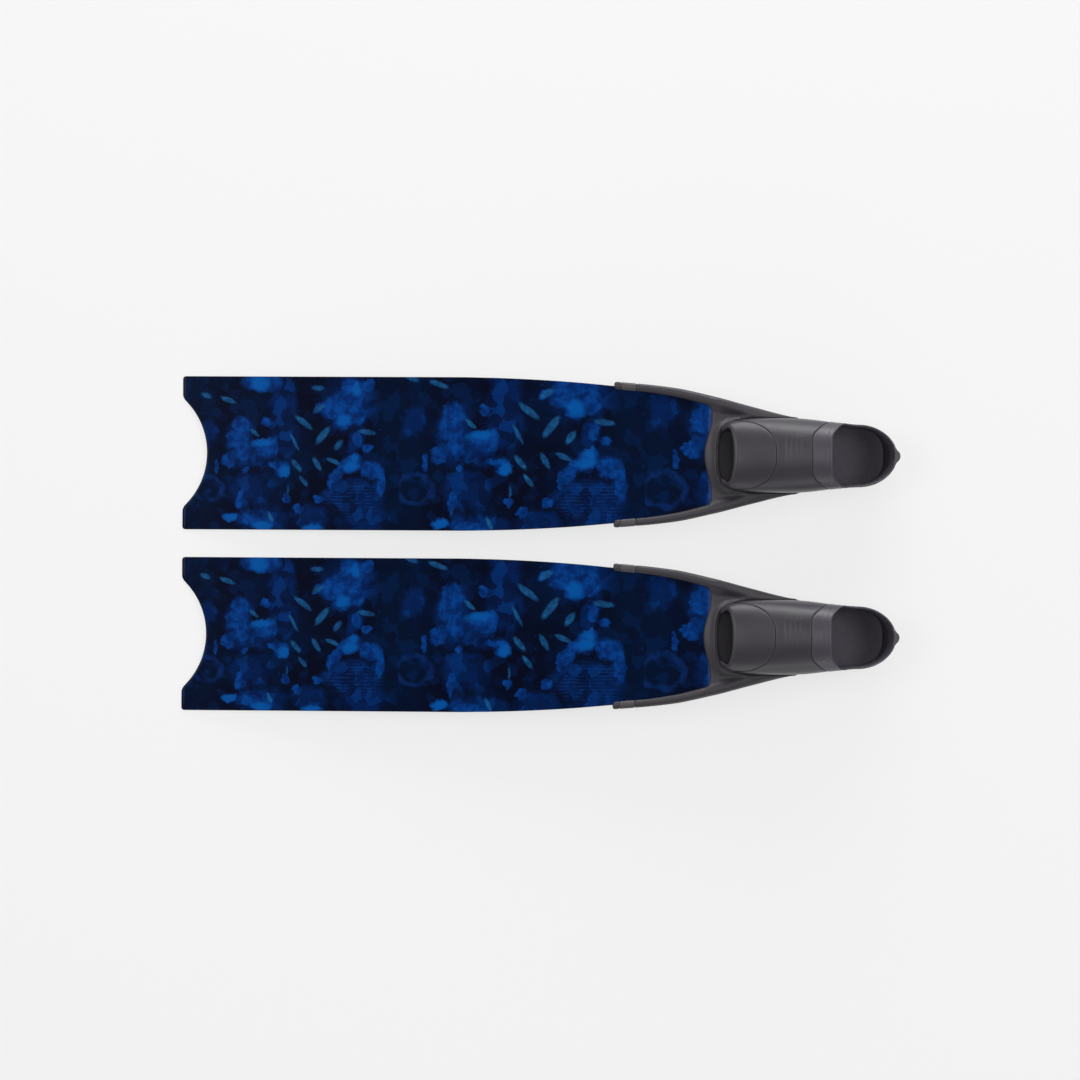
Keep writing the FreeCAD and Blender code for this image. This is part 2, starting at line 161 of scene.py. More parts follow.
# ------------------------------------------------------------------ surfaces from fields
def surface_net(field, low, high, step):
    """Closed quad mesh of the surface where a field is zero; the field is negative inside."""
    axes = [np.arange(a, b + step, step) for a, b in zip(low, high)]
    grid = np.meshgrid(*axes, indexing="ij")
    values = field(*grid).astype(np.float32)
    inside = values < 0
    cells = np.array(values.shape) - 1
    total = np.zeros((cells.prod(), 3))
    count = np.zeros(cells.prod())
    crossings = []
    for a in range(3):
        b, c = (a + 1) % 3, (a + 2) % 3
        first = [slice(None)] * 3
        second = [slice(None)] * 3
        first[a], second[a] = slice(None, -1), slice(1, None)
        places = np.argwhere(inside[tuple(first)] != inside[tuple(second)])
        ends = places.copy()
        ends[:, a] += 1
        v0, v1 = values[tuple(places.T)], values[tuple(ends.T)]
        points = places.astype(float)
        points[:, a] += v0 / (v0 - v1)
        corners = []
        for db, dc in ((-1, -1), (0, -1), (0, 0), (-1, 0)):
            cell = places.copy()
            cell[:, b] += db
            cell[:, c] += dc
            flat = np.ravel_multi_index(tuple(cell.T), tuple(cells), mode="clip")
            corners.append(flat)
            for k in range(3):
                total[:, k] += np.bincount(flat, points[:, k], cells.prod())
            count += np.bincount(flat, minlength=cells.prod())
        quads = np.stack(corners, 1)
        quads[v0 > 0] = quads[v0 > 0][:, ::-1]
        crossings.append(quads)
    used = np.flatnonzero(count)
    number = np.full(cells.prod(), -1)
    number[used] = np.arange(len(used))
    points = total[used] / count[used, None] * step + np.array([axis[0] for axis in axes])
    quads = number[np.concatenate(crossings)]
    return settle(field, points, quads, step)


def settle(field, points, quads, step):
    """Even out the net's points and put them on the surface."""
    edges = np.concatenate([quads[:, [i, (i + 1) % 4]] for i in range(4)])
    links = np.bincount(edges.ravel(), minlength=len(points))
    for turn in range(4):
        if turn < 3:
            mean = np.zeros_like(points)
            for k in range(3):
                mean[:, k] = (np.bincount(edges[:, 0], points[edges[:, 1], k], len(points))
                              + np.bincount(edges[:, 1], points[edges[:, 0], k], len(points)))
            points = 0.5 * points + 0.5 * mean / links[:, None]
        reach = 0.15
        for _ in range(2):
            value = field(*points.T)
            slope = np.stack([
                field(*(points + shift).T) - field(*(points - shift).T)
                for shift in np.eye(3) * reach], 1) / (2 * reach)
            steep = np.maximum((slope * slope).sum(1), 0.05)
            move = -value[:, None] * slope / steep[:, None]
            size = np.linalg.norm(move, axis=1)
            points = points + move * np.minimum(1, step / np.maximum(size, 1e-6))[:, None]
    return points, quads


def tilted(points):
    """Foot-frame points in the row frame."""
    x, z = row_frame(points[:, 0], points[:, 2])
    return np.stack([x, points[:, 1], z], 1)


def new_mesh(name, points, faces):
    """Smooth-shaded mesh from points in millimetres."""
    mesh = bpy.data.meshes.new(name)
    mesh.from_pydata((points * MM).tolist(), [], [tuple(f) for f in faces.tolist()])
    mesh.polygons.foreach_set("use_smooth", [True] * len(mesh.polygons))
    mesh.update()
    return mesh


def place_twice(part, points, faces, material, body, cad_nodes):
    """One object per fin from the same shape, standing for that fin's CAD nodes."""
    made = {}
    for side in SIDES:
        shifted = points + np.array([0.0, MIDLINES[side], 0.0])
        mesh = new_mesh(f"{side}_{part}_look", shifted, faces)
        mesh.materials.append(material)
        piece = bpy.data.objects.new(f"{side}_{part}_look", mesh)
        bpy.context.scene.collection.objects.link(piece)
        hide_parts(*[f"{side}_{node}" for node in cad_nodes])
        if body:
            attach(piece, f"{side}_{body}")
        made[side] = piece
    return made


# ------------------------------------------------------------------ foot pocket fields (foot frame)
TOE_CENTRE, TOE_HALF, TOE_POWER = 80.0, 49.0, 3.6
WAIST_START = 100.0
HEEL_CENTRE, HEEL_HALF, HEEL_POWER = 182.0, 41.0, 2.5
RIM_HALF, RIM_POWER = 39.6, 2.0             # the heel is narrower and more pointed at the rim
RIM_RISE = 40.0                             # height over which the heel's outline changes

# Cross-section of the pocket at each u: its half width, the height where the arch starts, its crown.
arch_half = curve([(-12, 44), (30, 48.5), (60, 50.5), (100, 50.5), (140, 47.5), (180, 45), (245, 45)])
arch_shoulder = curve([(-12, 14), (30, 16), (60, 20), (100, 28), (140, 40), (180, 55), (245, 58)])
arch_crown = curve([(-12, 33), (30, 47), (60, 60), (100, 77), (140, 91), (180, 101), (245, 112)])
ARCH_POWER = 2.3
ROOF_EDGE, OPENING_EDGE = 5.0, 26.0         # rounding between walls and roof, and of the opening
MOUTH_START, MOUTH_LEAN = 6.0, math.atan2(11.0, 30.0)
SEAM_START, SEAM_LEAN = 145.0, 0.08
rim_level = curve([(130, 66), (150, 60.5), (172, 57.5), (195, 57), (215, 59), (240, 65)])


def footprint_field(u, y, w):
    """Negative inside the outline seen square to the sole: round toe, waist and heel."""
    across = np.abs(y)
    high = np.clip((w - SOLE_RIM) / RIM_RISE, 0, 1)
    heel_half = HEEL_HALF + (RIM_HALF - HEEL_HALF) * high
    power = HEEL_POWER + (RIM_POWER - HEEL_POWER) * high
    toe = (np.clip((TOE_CENTRE - u) / TOE_CENTRE, 0, None) ** TOE_POWER
           + (across / TOE_HALF) ** TOE_POWER) ** (1 / TOE_POWER) - 1
    heel = (np.clip((u - HEEL_CENTRE) / (POCKET_LENGTH - HEEL_CENTRE), 0, None) ** power
            + (across / heel_half) ** power) ** (1 / power) - 1
    turn = np.clip((u - WAIST_START) / (HEEL_CENTRE - WAIST_START), 0, 1)
    waist = (TOE_HALF + heel_half) / 2 + (TOE_HALF - heel_half) / 2 * np.cos(np.pi * turn)
    middle = across - waist
    return np.where(u < TOE_CENTRE, toe * TOE_HALF, np.where(u > HEEL_CENTRE, heel * heel_half, middle))


def roof_field(u, y, w):
    """Negative under the arch over the foot."""
    half, shoulder, crown = arch_half(u), arch_shoulder(u), arch_crown(u)
    rise = np.maximum(w - shoulder, 0) / (crown - shoulder)
    ring = ((np.abs(y) / half) ** ARCH_POWER + rise ** ARCH_POWER) ** (1 / ARCH_POWER)
    return (ring - 1) * np.minimum(half, crown - shoulder)


def walls_field(u, y, w):
    """Outside of the pocket without its bottom."""
    return smooth_max(unit_field(footprint_field, u, y, w), unit_field(roof_field, u, y, w), ROOF_EDGE)


def opening_field(u, y, w, front, drop, turn):
    """Negative in the foot opening: behind a round-cornered line from above, over the rim's curve."""
    straight_half, turn_span, turn_end = 20.0, 20.0, 24.0
    corner = turn * (np.clip(np.abs(y) - straight_half, 0, turn_end) / turn_span) ** 2
    return smooth_max(front + corner - row_frame(u, w)[0], rim_level(u) - drop - w, OPENING_EDGE)


def mouth_field(u, w):
    """Negative in the toe opening: ahead of a plane leaning back from the sole's front edge."""
    return (u - MOUTH_START) * math.cos(MOUTH_LEAN) - (w - SOLE_RIM) * math.sin(MOUTH_LEAN)


def seam_field(u, w):
    """Positive behind the side seam between vamp and heel cup."""
    return u - (SEAM_START - w * SEAM_LEAN)


def toe_panel_field(u, y):
    """Negative inside the toe cap's plan: straight sides, round rear corners, the whole toe's end."""
    half, corner, rear, front = 44.0, 36.0, 66.5, 20.0
    dx = np.maximum(u - (rear - corner), 0)
    dy = np.maximum(np.abs(y) - (half - corner), 0)
    return smooth_min(np.sqrt(dx * dx + dy * dy) - corner, u - front, 8.0)


# ------------------------------------------------------------------ soft uppers (foot frame)
RIB_FIRST, RIB_STEP, RIB_COUNT = 79.0, 6.2, 4
RIB_HEIGHT, RIB_WIDTH, RIB_HALF_LENGTH, RIB_BOW = 0.5, 1.4, 25.0, 0.0014
TOE_CAP_RAISE, COLLAR_RAISE = 0.9, 0.6      # how far the panels stand over the vamp
HEEL_RIDGES, RIDGE_HEIGHT, RIDGE_WIDTH, RIDGE_START = (20.0, 25.0, 30.0), 0.6, 1.2, 205.0


def groove(u, y, w):
    """Half the gap between two panels: open outside, closed by an overlap inside the wall."""
    open_depth, closing_depth, overlap_slope = 0.4, 1.3, 0.4
    depth = -walls_field(u, y, w)
    return PANEL_GAP - overlap_slope * np.clip(depth - open_depth, 0, closing_depth)


def collar_band(u, y, w):
    """Negative in the collar: the foot opening grown forward and down."""
    return opening_field(u, y, w, COLLAR_FRONT_X, COLLAR_DEPTH, COLLAR_TURN)


def soft_shell(u, y, w, raised, thinned=0.0):
    """Wall of the pocket above the sole, its outside raised and its inside thinned by some amount."""
    walls = walls_field(u, y, w)
    shell = smooth_max(walls - raised, -(walls + WALL - thinned), 1.0)
    return smooth_max(shell, SOLE_RIM + SEAT_GAP - w, 0.8)


def vamp_field(u, y, w):
    """Soft upper over the instep, with a few shallow ribs across its crown."""
    bowed = u - RIB_BOW * y * y
    ribs = sum(bump(bowed - (RIB_FIRST + k * RIB_STEP), RIB_WIDTH) for k in range(RIB_COUNT))
    ribs = ribs / (1 + np.exp((np.abs(y) - RIB_HALF_LENGTH) / 1.5))
    gap = groove(u, y, w)
    shell = soft_shell(u, y, w, RIB_HEIGHT * ribs)
    shell = smooth_max(shell, gap - collar_band(u, y, w), EDGE)
    shell = smooth_max(shell, gap - toe_panel_field(u, y), EDGE)
    return smooth_max(shell, seam_field(u, w) + gap, EDGE)


def toe_cap_field(u, y, w):
    """Raised smooth panel over the toes, a little swollen round the toe opening."""
    mouth = mouth_field(u, w)
    swelling = 0.2 * bump(mouth, 4.0)
    shell = soft_shell(u, y, w, TOE_CAP_RAISE + swelling)
    shell = smooth_max(shell, toe_panel_field(u, y) + groove(u, y, w), EDGE)
    return smooth_max(shell, -mouth, 2.8)


def collar_field(u, y, w):
    """Band round the foot opening, thin at its rim, with a bead, a second rib and the pull tab."""
    opening = opening_field(u, y, w, OPENING_FRONT_X, 0.0, OPENING_TURN)
    bead = 0.5 * bump(opening - 1.5, 2.2) + 0.35 * bump(opening - 8.0, 1.5)
    thinned = 2.0 / (1 + np.exp((opening - 9.0) / 2.0))
    shell = soft_shell(u, y, w, COLLAR_RAISE + bead, thinned)
    shell = smooth_max(shell, -opening, 1.8)
    shell = smooth_max(shell, collar_band(u, y, w) + groove(u, y, w), EDGE)
    return smooth_min(shell, pull_tab_field(u, y, w), 3.0)


def pull_tab_field(u, y, w):
    """Rounded tab at the heel, wider at its root, with a finger hollow on each face."""
    half_width, root, end, level, half_thickness = 8.4, 222.0, 237.4, 59.5, 2.1
    flare = np.clip(end - half_width - u, 0, 7.0)
    dx = np.maximum(u - (end - half_width), 0)
    plan = np.sqrt(dx * dx + y * y) - half_width - flare
    outside = -footprint_field(u, y, w) - 1.2
    plan = smooth_max(plan, np.maximum(root - u, outside), 0.6)
    hollow = 0.7 * bump(np.hypot(u - 233.0, y), 4.5)
    return smooth_max(plan, np.abs(w - level) - half_thickness + hollow, 1.8)


def heel_cup_field(u, y, w):
    """Soft wall round the heel, with level ridges at its back."""
    gap = groove(u, y, w)
    ridges = sum(bump(w - level, RIDGE_WIDTH) for level in HEEL_RIDGES)
    ridges = ridges / (1 + np.exp((RIDGE_START - u) / 3.0))
    shell = soft_shell(u, y, w, RIDGE_HEIGHT * ridges)
    shell = smooth_max(shell, gap - collar_band(u, y, w), EDGE)
    return smooth_max(shell, gap - seam_field(u, w), EDGE)


# ------------------------------------------------------------------ sole frame (row frame)
TENDON_START, TENDON_END = 94.0, 336.0
TENDON_POWER = 2.6
TENDON_FILLET, WEB_FILLET = 9.0, 14.0       # where the tendons and the web grow out of the sole
SOLE_EDGE, RIM_EDGE, HOLLOW_EDGE = 9.0, 1.2, 3.0
# Each tendon at each X: Y of its outer side, width, height, and how high it lies.
tendon_outer = curve([(94, 95.0), (118, 92.9), (140, 91.0), (161, 88.6), (181, 85.7), (202, 81.2),
                      (223, 76.2), (244, 70.7), (265, 65.2), (286, 59.2), (302, 54.0), (318, 49.4),
                      (340, 44)])
tendon_width = curve([(94, 10.0), (140, 10.2), (181, 12.0), (223, 13.5), (265, 13.5), (307, 12.0),
                      (340, 9.0)])
tendon_height = curve([(94, 8.0), (140, 10.0), (181, 13.0), (223, 17.0), (265, 19.0), (307, 17.0),
                       (340, 11.0)])
tendon_lift = curve([(223, 4.5), (265, 7.5), (307, 8.0), (340, 8.0)])
WEB_END, WEB_MIDDLE, WEB_HALF_THICKNESS = 104.0, 4.0, 5.0
web_edge = curve([(-20, 66), (-1, 69), (43, 58.5), (87, 49), (WEB_END, 44)])
LIP_FRONT, LIP_RETREAT, LIP_SHOULDER = -12.3, 9.8, 50.0     # the lip bulges forward in its middle
SLEEVE_START, SLEEVE_END = 103.0, 123.0
SLEEVE_RECESS, SLEEVE_PROUD, SLEEVE_DEPTH = 1.1, 0.25, 1.3
SLEEVE_END_GAP, SLEEVE_SLIT = 0.4, 1.2


def bend_geometry():
    """Start, centre and turn of the blade's bend, in XZ."""
    corner_x, corner_z = row_frame(0.0, BLADE_LEVEL)
    rise = math.atan2(corner_z - BLADE_TIP_THICKNESS / 2, corner_x - TIP_X)
    run = BLADE_BEND_RADIUS * math.tan((rise + SOLE_SLOPE) / 2)
    return corner_x, corner_z, rise, run


CORNER_X, CORNER_Z, BLADE_RISE, BEND_RUN = bend_geometry()
FLAT_LENGTH = (CORNER_X - TIP_X) / math.cos(BLADE_RISE) - BEND_RUN
BEND_LENGTH = BLADE_BEND_RADIUS * (BLADE_RISE + SOLE_SLOPE)
BLADE_LENGTH = FLAT_LENGTH + BEND_LENGTH + BLADE_ROOT_LENGTH - BEND_RUN


def blade_path(s):
    """Mid-surface of the blade at an arc length from the tip: X, Z and the slope there."""
    turned = np.clip((s - FLAT_LENGTH) / BLADE_BEND_RADIUS, 0, BLADE_RISE + SOLE_SLOPE)
    slope = BLADE_RISE - turned
    flat = np.minimum(s, FLAT_LENGTH)
    past = np.maximum(s - FLAT_LENGTH - BEND_LENGTH, 0)
    x = TIP_X + flat * math.cos(BLADE_RISE) + past * COS_SOLE
    z = BLADE_TIP_THICKNESS / 2 + flat * math.sin(BLADE_RISE) - past * SIN_SOLE
    x = x + BLADE_BEND_RADIUS * (math.sin(BLADE_RISE) - np.sin(slope))
    z = z - BLADE_BEND_RADIUS * (math.cos(BLADE_RISE) - np.cos(slope))
    return x, z, slope


def blade_height_field(x, z):
    """Signed distance from the blade's mid-surface, negative below."""
    ahead = (z - CORNER_Z) * math.cos(BLADE_RISE) - (x - CORNER_X) * math.sin(BLADE_RISE)
    behind = (z - CORNER_Z) * COS_SOLE + (x - CORNER_X) * SIN_SOLE
    return smooth_max(ahead, behind, 1.6)


def tendon_field(x, y, z):
    """Negative inside the two tendons: along the blade's edges, then down the sole's sides."""
    half_y, half_z = tendon_width(x) / 2, tendon_height(x) / 2
    centre_y = tendon_outer(x) - half_y
    on_blade = CORNER_Z + (x - CORNER_X) * math.tan(BLADE_RISE)
    lift = tendon_lift(x)
    u = (x - JUNCTION_X - lift * SIN_SOLE) / COS_SOLE
    on_sole = JUNCTION_Z - u * SIN_SOLE + lift * COS_SOLE
    centre_z = smooth_min(on_blade, on_sole, 9.0)
    ring = ((np.abs(np.abs(y) - centre_y) / half_y) ** TENDON_POWER
            + (np.abs(z - centre_z) / half_z) ** TENDON_POWER) ** (1 / TENDON_POWER) - 1
    return ring * np.minimum(half_y, half_z)


def tendon_body(x, y, z, inset=0.0):
    """The tendons cut at their tips and sunk softly into the pocket's sides."""
    ring = unit_field(tendon_field, x, y, z)
    ring = smooth_max(ring, (x - TENDON_END) * 0.35, 16.0)
    return smooth_max(ring, TENDON_START - x, 4.0) + inset


def web_field(u, y, w):
    """Negative in the flat web between tendons and sole, thinned towards the lip over the blade."""
    turn = np.clip(np.abs(y) / LIP_SHOULDER, 0, 1)
    lip = LIP_FRONT + LIP_RETREAT * (1 - np.cos(np.pi * turn)) / 2 - u
    plan = smooth_max(np.abs(y) - web_edge(u), lip, 8.0)
    plan = np.maximum(plan, u - WEB_END)
    thinner = 0.35 * np.clip(lip + 9.0, 0, 20)
    bevel = (np.abs(w - WEB_MIDDLE) - WEB_HALF_THICKNESS + thinner) * 0.94
    return smooth_max(plan, bevel, 2.0)


def sole_frame_field(x, y, z):
    """Sole with side walls, lip, web and tendons as one moulding, hollow for the foot."""
    u, w = foot_frame(x, z)
    walls = walls_field(u, y, w)
    sole = smooth_max(smooth_max(walls, -w, SOLE_EDGE), w - SOLE_RIM, RIM_EDGE)
    frame_shape = smooth_min(sole, web_field(u, y, w), WEB_FILLET)
    frame_shape = smooth_min(frame_shape, tendon_body(x, y, z), TENDON_FILLET)
    hollow = smooth_max(walls + WALL, SOLE_THICKNESS - w, HOLLOW_EDGE)
    uppers = np.maximum(walls - UPPER_GAP, SOLE_RIM - w)
    frame_shape = smooth_max(frame_shape, -hollow, 1.0)
    frame_shape = smooth_max(frame_shape, -uppers, 0.6)
    sleeve_ends = np.maximum(SLEEVE_START - x, x - SLEEVE_END)
    sleeve = np.maximum(sleeve_ends, -tendon_body(x, y, z, SLEEVE_RECESS))
    frame_shape = smooth_max(frame_shape, -sleeve, 0.6)
    return smooth_max(frame_shape, FLOOR_GAP - z, 1.0)


def sleeve_field(x, y, z):
    """Clip round a tendon's tip, slit where the blade's edge passes."""
    ring = tendon_body(x, y, z)
    ends = np.maximum(SLEEVE_START + SLEEVE_END_GAP - x, x - SLEEVE_END + SLEEVE_END_GAP)
    slit = SLEEVE_SLIT - np.abs(blade_height_field(x, z))
    shell = smooth_max(smooth_max(ring - SLEEVE_PROUD, -(ring + SLEEVE_DEPTH), 0.5), ends, 1.2)
    return smooth_max(shell, slit, 0.6)


footbed_rise = curve([(40, 0), (90, 2.0), (150, 3.0), (185, 9.0), (215, 12.0)])
FOOTBED_LEVEL = 12.0                        # w where the footbed's outline is taken
CUP_WIDTH = 17.0                            # how far from the walls the footbed starts to rise


def footbed_field(u, y, w):
    """Thin insole with a low swell under the toes, cupped against the walls at the heel."""
    walls = walls_field(u, y, np.full_like(w, FOOTBED_LEVEL))
    plan = walls + WALL + SEAT_GAP
    near_edge = np.clip(1 + (footprint_field(u, y, w) + WALL) / CUP_WIDTH, 0, 1)
    cupped = footbed_rise(u) * near_edge ** 2
    toe_swell = 1.5 * bump(u - 62.0, 16.0)
    top = SOLE_THICKNESS + FOOTBED_THICKNESS + cupped + toe_swell
    slab = smooth_max(w - top, SOLE_THICKNESS + FOOTBED_GAP - w, 0.6)
    return smooth_max(plan, slab, 1.6)


# ------------------------------------------------------------------ blade
TAPER_START, SHOULDER_X = -100.0, 226.0     # the blade tapers from one to the other
FULL_HALF, SHOULDER_HALF = 100.0, 68.0
TIP_FADE = 150.0                            # the notch's curve fades out over this length of the rows
EDGE_INSET = 0.45                           # rounding of the blade's edge
blade_taper = curve([(TAPER_START, FULL_HALF), (-50, 98.9), (0, 96.7), (50, 93.3), (88, 89.8),
                     (140, 85.0), (181, 80.0), (SHOULDER_X, SHOULDER_HALF)])


def blade_half_width(x):
    """Straight sides, a taper, and a narrow root inside the sole."""
    root = np.interp(x, [SHOULDER_X, 250.0, 292.0], [SHOULDER_HALF, 44.0, 40.0])
    return np.where(x <= TAPER_START, FULL_HALF, np.where(x < SHOULDER_X, blade_taper(x), root))


def tip_start(y):
    """How far behind the horns' ends the blade starts at each Y: the notch and the round corners."""
    radius = (NOTCH_HALF_CHORD ** 2 + NOTCH_DEPTH ** 2) / (2 * NOTCH_DEPTH)
    arc = np.sqrt(np.maximum(radius ** 2 - y * y, 0)) - (radius - NOTCH_DEPTH)
    notch = smooth_max(arc, 0 * y, 5.0)
    corner = TIP_CORNER_RADIUS
    over = np.clip(np.abs(y) - (BLADE_HALF_WIDTH - corner), 0, corner)
    return notch + corner - np.sqrt(corner ** 2 - over ** 2)


def blade_grid():
    """Rows along the blade and columns across: arc length and Y of every grid point."""
    rows = np.unique(np.concatenate([
        np.linspace(0, TIP_FADE, 40),
        np.linspace(TIP_FADE, FLAT_LENGTH, 76),
        np.linspace(FLAT_LENGTH, FLAT_LENGTH + BEND_LENGTH, 8),
        np.linspace(FLAT_LENGTH + BEND_LENGTH, BLADE_LENGTH, 12)]))
    share = np.concatenate([np.linspace(0, 0.94, 24), [0.955, 0.968, 0.979, 0.988, 0.995, 1.0]])
    share = np.concatenate([-share[:0:-1], share])
    start = tip_start(share * BLADE_HALF_WIDTH)
    fade = np.clip(1 - rows / TIP_FADE, 0, 1) ** 2
    s = rows[:, None] + fade[:, None] * start[None, :]
    x = blade_path(s)[0]
    return s, share[None, :] * blade_half_width(x)


def blade_points(s, y, offset):
    """Points at an offset from the blade's mid-surface."""
    x, z, slope = blade_path(s)
    return np.stack([x - offset * np.sin(slope), y, z + offset * np.cos(slope)], -1)


def blade_mesh_data():
    """Points, faces and print coordinates of the blade, with a rounded edge all round."""
    s, y = blade_grid()
    rows, columns = s.shape
    half = np.interp(s, [0, FLAT_LENGTH], [BLADE_TIP_THICKNESS / 2, BLADE_ROOT_THICKNESS / 2])
    index = np.arange(rows * columns).reshape(rows, columns)
    rim = np.concatenate([index[0, :-1], index[:-1, -1], index[-1, :0:-1], index[:0:-1, 0]])
    inward_s, inward_y = s.copy(), y.copy()
    inward_s[0] += EDGE_INSET
    inward_s[-1] -= EDGE_INSET
    inward_y[:, 0] += EDGE_INSET
    inward_y[:, -1] -= EDGE_INSET
    top = blade_points(inward_s, inward_y, half).reshape(-1, 3)
    bottom = blade_points(inward_s, inward_y, -half).reshape(-1, 3)
    middle = blade_points(s, y, 0 * half).reshape(-1, 3)[rim]
    points = np.concatenate([top, bottom, middle])
    a, b, c, d = index[:-1, :-1], index[1:, :-1], index[1:, 1:], index[:-1, 1:]
    quads = np.stack([a, b, c, d], -1).reshape(-1, 4)
    count = rows * columns
    ring_top, ring_low = rim, rim + count
    ring_mid = 2 * count + np.arange(len(rim))
    after = np.roll(np.arange(len(rim)), -1)
    upper = np.stack([ring_top, ring_top[after], ring_mid[after], ring_mid], -1)
    lower = np.stack([ring_mid, ring_mid[after], ring_low[after], ring_low], -1)
    faces = np.concatenate([quads, quads[:, ::-1] + count, upper, lower])
    flat = np.stack([s.ravel(), y.ravel()], 1) * MM
    prints = np.concatenate([flat, flat, flat[rim]])
    edge_faces = 2 * len(rim)
    return points, faces, prints, edge_faces


# ------------------------------------------------------------------ materials
def srgb(r, g, b):
    """A colour given as 0 to 255 display values."""
    def linear(v):
        v = v / 255
        return v / 12.92 if v <= 0.04045 else ((v + 0.055) / 1.055) ** 2.4
    return (linear(r), linear(g), linear(b), 1.0)


class Recipe:
    """One material being put together from nodes."""

    def __init__(self, name):
        self.material = bpy.data.materials.new(f"{name}_look")
        self.material.use_nodes = True
        self.tree = self.material.node_tree
        self.shader = self.tree.nodes["Principled BSDF"]

    def put(self, socket, value):
        """Link a node's output to a socket, or set the socket to a plain value."""
        if isinstance(value, bpy.types.NodeSocket):
            self.tree.links.new(value, socket)
        else:
            socket.default_value = value

    def node(self, kind, settings=None, **inputs):
        made = self.tree.nodes.new(kind)
        for key, value in (settings or {}).items():
            setattr(made, key, value)
        for key, value in inputs.items():
            self.put(made.inputs[key.replace("_", " ")], value)
        return made

    def math(self, operation, a, b=0.0, c=0.0):
        made = self.node("ShaderNodeMath", {"operation": operation})
        for socket, value in zip(made.inputs, (a, b, c)):
            self.put(socket, value)
        return made.outputs[0]

    def noise(self, place, scale, detail=3.0, roughness=0.5):
        made = self.node("ShaderNodeTexNoise", Vector=place, Scale=scale, Detail=detail,
                         Roughness=roughness)
        return made.outputs["Fac"]

    def band(self, value, low, high, to_low=0.0, to_high=1.0):
        """Smooth step of a value between two levels."""
        made = self.node("ShaderNodeMapRange", {"interpolation_type": "SMOOTHSTEP"}, Value=value)
        for key, level in (("From Min", low), ("From Max", high),
                           ("To Min", to_low), ("To Max", to_high)):
            self.put(made.inputs[key], level)
        return made.outputs["Result"]

    def mix(self, share, a, b):
        made = self.node("ShaderNodeMix", {"data_type": "RGBA"})
        colours = [socket for socket in made.inputs if socket.type == "RGBA"]
        self.put(made.inputs["Factor"], share)
        self.put(colours[0], a)
        self.put(colours[1], b)
        return [socket for socket in made.outputs if socket.type == "RGBA"][0]

    def relief(self, height, distance, strength=0.5):
        made = self.node("ShaderNodeBump", Height=height, Distance=distance, Strength=strength)
        return made.outputs["Normal"]

    def set(self, **inputs):
        for key, value in inputs.items():
            self.put(self.shader.inputs[key.replace("_", " ")], value)

    def object_place(self):
        return self.node("ShaderNodeTexCoord").outputs["Object"]


def rubber(name, dark, light, roughness, grain=1400.0, depth=0.00005):
    """Moulded rubber: faint clouds, pale bloom, a fine grain, and edges worn lighter."""
    recipe = Recipe(name)
    place = recipe.object_place()
    cloud = recipe.noise(place, 16.0, 5.0)
    bloom = recipe.band(recipe.noise(place, 55.0, 6.0, 0.7), 0.52, 0.75)
    grains = recipe.noise(place, grain, 2.0)
    worn = recipe.node("ShaderNodeNewGeometry").outputs["Pointiness"]
    worn = recipe.band(worn, 0.52, 0.6)
    tone = recipe.mix(cloud, dark, light)
    paler = tuple(v * 1.22 for v in light[:3]) + (1.0,)
    tone = recipe.mix(recipe.math("MULTIPLY", bloom, 0.3), tone, paler)
    tone = recipe.mix(recipe.math("MULTIPLY", worn, 0.35), tone, paler)
    sheen = recipe.math("ADD", recipe.math("MULTIPLY", cloud, 0.14), roughness - 0.07)
    sheen = recipe.math("ADD", sheen, recipe.math("MULTIPLY", bloom, 0.06))
    recipe.set(Base_Color=tone, Roughness=sheen, Normal=recipe.relief(grains, depth))
    return recipe.material


def metal(name, colour, roughness):
    """Machined metal with fine turning marks and a few dull patches."""
    recipe = Recipe(name)
    place = recipe.object_place()
    stretched = recipe.node("ShaderNodeMapping", Vector=place, Scale=(1.0, 1.0, 9.0)).outputs[0]
    marks = recipe.noise(stretched, 1500.0, 2.0)
    dull = recipe.noise(place, 260.0, 4.0)
    darker = tuple(v * 0.6 for v in colour[:3]) + (1,)
    tone = recipe.mix(recipe.math("MULTIPLY", dull, 0.5), colour, darker)
    sheen = recipe.math("ADD", recipe.math("MULTIPLY", dull, 0.25), roughness)
    recipe.set(Base_Color=tone, Roughness=sheen, Metallic=1.0,
               Normal=recipe.relief(marks, 0.00002))
    return recipe.material


def footbed_foam():
    """Foam insole under a knitted cloth: small offset loops, a soft pile, and painted shade towards the
    toe end.
    """
    recipe = Recipe("footbed_foam")
    place = recipe.object_place()
    loops = recipe.node("ShaderNodeTexVoronoi", Vector=place, Scale=620.0).outputs["Distance"]
    cloud = recipe.noise(place, 30.0, 4.0)
    tone = recipe.mix(cloud, srgb(99, 95, 106), srgb(112, 107, 118))
    tone = recipe.mix(recipe.band(loops, 0.1, 0.6, 0.0, 0.4), tone, srgb(60, 57, 65))
    # Painted shade: the insole's colour darkens towards the toe end, standing in for the shade inside
    # the toe of the pocket.
    along = recipe.node("ShaderNodeSeparateXYZ", Vector=place).outputs["X"]
    tone = recipe.mix(recipe.band(along, 0.34, 0.26), tone, srgb(46, 43, 49))
    recipe.set(Base_Color=tone, Roughness=recipe.math("ADD", recipe.math("MULTIPLY", cloud, 0.1), 0.82),
               Sheen_Weight=0.2, Normal=recipe.relief(loops, 0.0003, 0.6))
    return recipe.material


